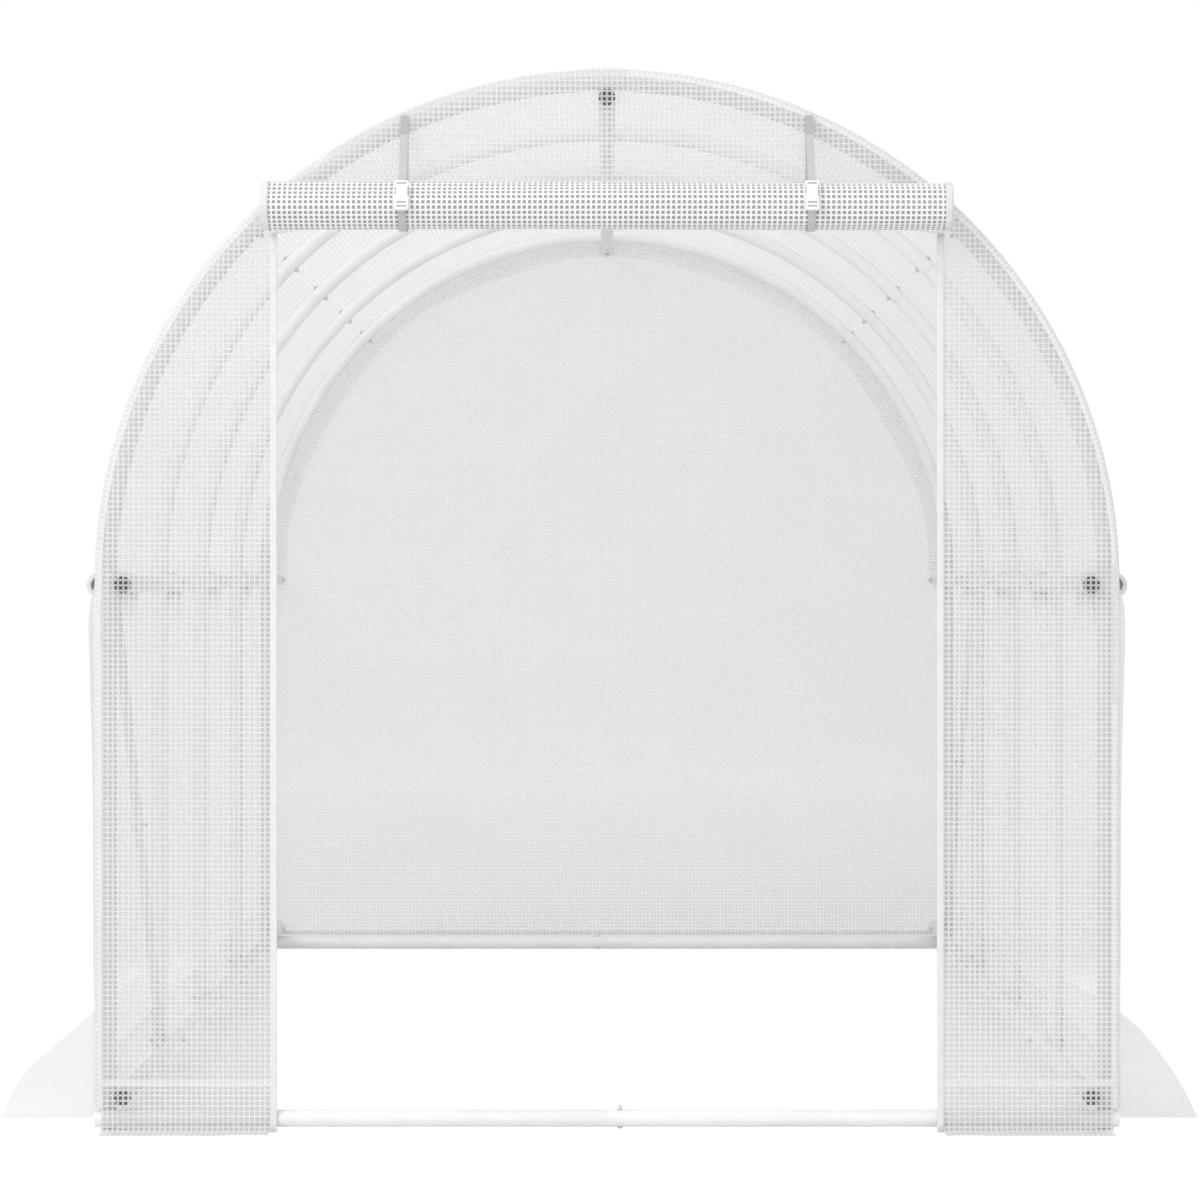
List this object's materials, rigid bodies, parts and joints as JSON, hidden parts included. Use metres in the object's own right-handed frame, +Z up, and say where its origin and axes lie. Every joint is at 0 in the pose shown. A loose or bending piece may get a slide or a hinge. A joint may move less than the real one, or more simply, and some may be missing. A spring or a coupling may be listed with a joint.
{
  "type": "polytunnel greenhouse",
  "caption": "Walk-in arched tunnel of bolted white tube hoops under translucent mesh-reinforced film, with a roll-up door, screened side windows and ground skirts.",
  "frame": {"origin": "on the ground at the middle of the footprint", "axes": "+Z up, -Y to the front with the roll-up door, +Y along the tunnel, the left side is -X"},
  "size_m": [2.5506, 3.33, 2.0611],
  "materials": {
    "tube": "white powder coat",
    "film": "translucent white film with a woven grid",
    "screen": "fine insect mesh",
    "tape": "woven zip tape",
    "webbing": "flat webbing",
    "buckle": "moulded, satin"
  },
  "bodies": {
    "root": {"door_buckle_plugs": "buckle", "door_buckles": "buckle", "door_roll": "film", "door_straps": "webbing", "front_gable": "film", "front_panel_left": "film", "front_panel_right": "film", "front_sill_left": "tube", "front_sill_right": "tube", "front_skirt_left": "film", "front_skirt_right": "film", "hoop_1_crown": "tube", "hoop_1_legs": "tube", "hoop_2_crown": "tube", "hoop_2_legs": "tube", "hoop_3_crown": "tube", "hoop_3_legs": "tube", "hoop_4_crown": "tube", "hoop_4_legs": "tube", "hoop_5_crown": "tube", "hoop_5_legs": "tube", "left_base_rail": "tube", "left_front_brace": "tube", "left_side_purlin": "tube", "left_skirt": "film", "left_wall_cover": "film", "left_window_rolls": "film", "left_window_screens": "screen", "rear_panel": "film", "rear_sill_left": "tube", "rear_sill_right": "tube", "rear_skirt": "film", "ridge_purlin": "tube", "right_base_rail": "tube", "right_rear_brace": "tube", "right_side_purlin": "tube", "right_skirt": "film", "right_wall_cover": "film", "right_window_rolls": "film", "right_window_screens": "screen", "roof_cover": "film", "zip_tape_left": "tape", "zip_tape_right": "tape"}
  },
  "joints": []
}
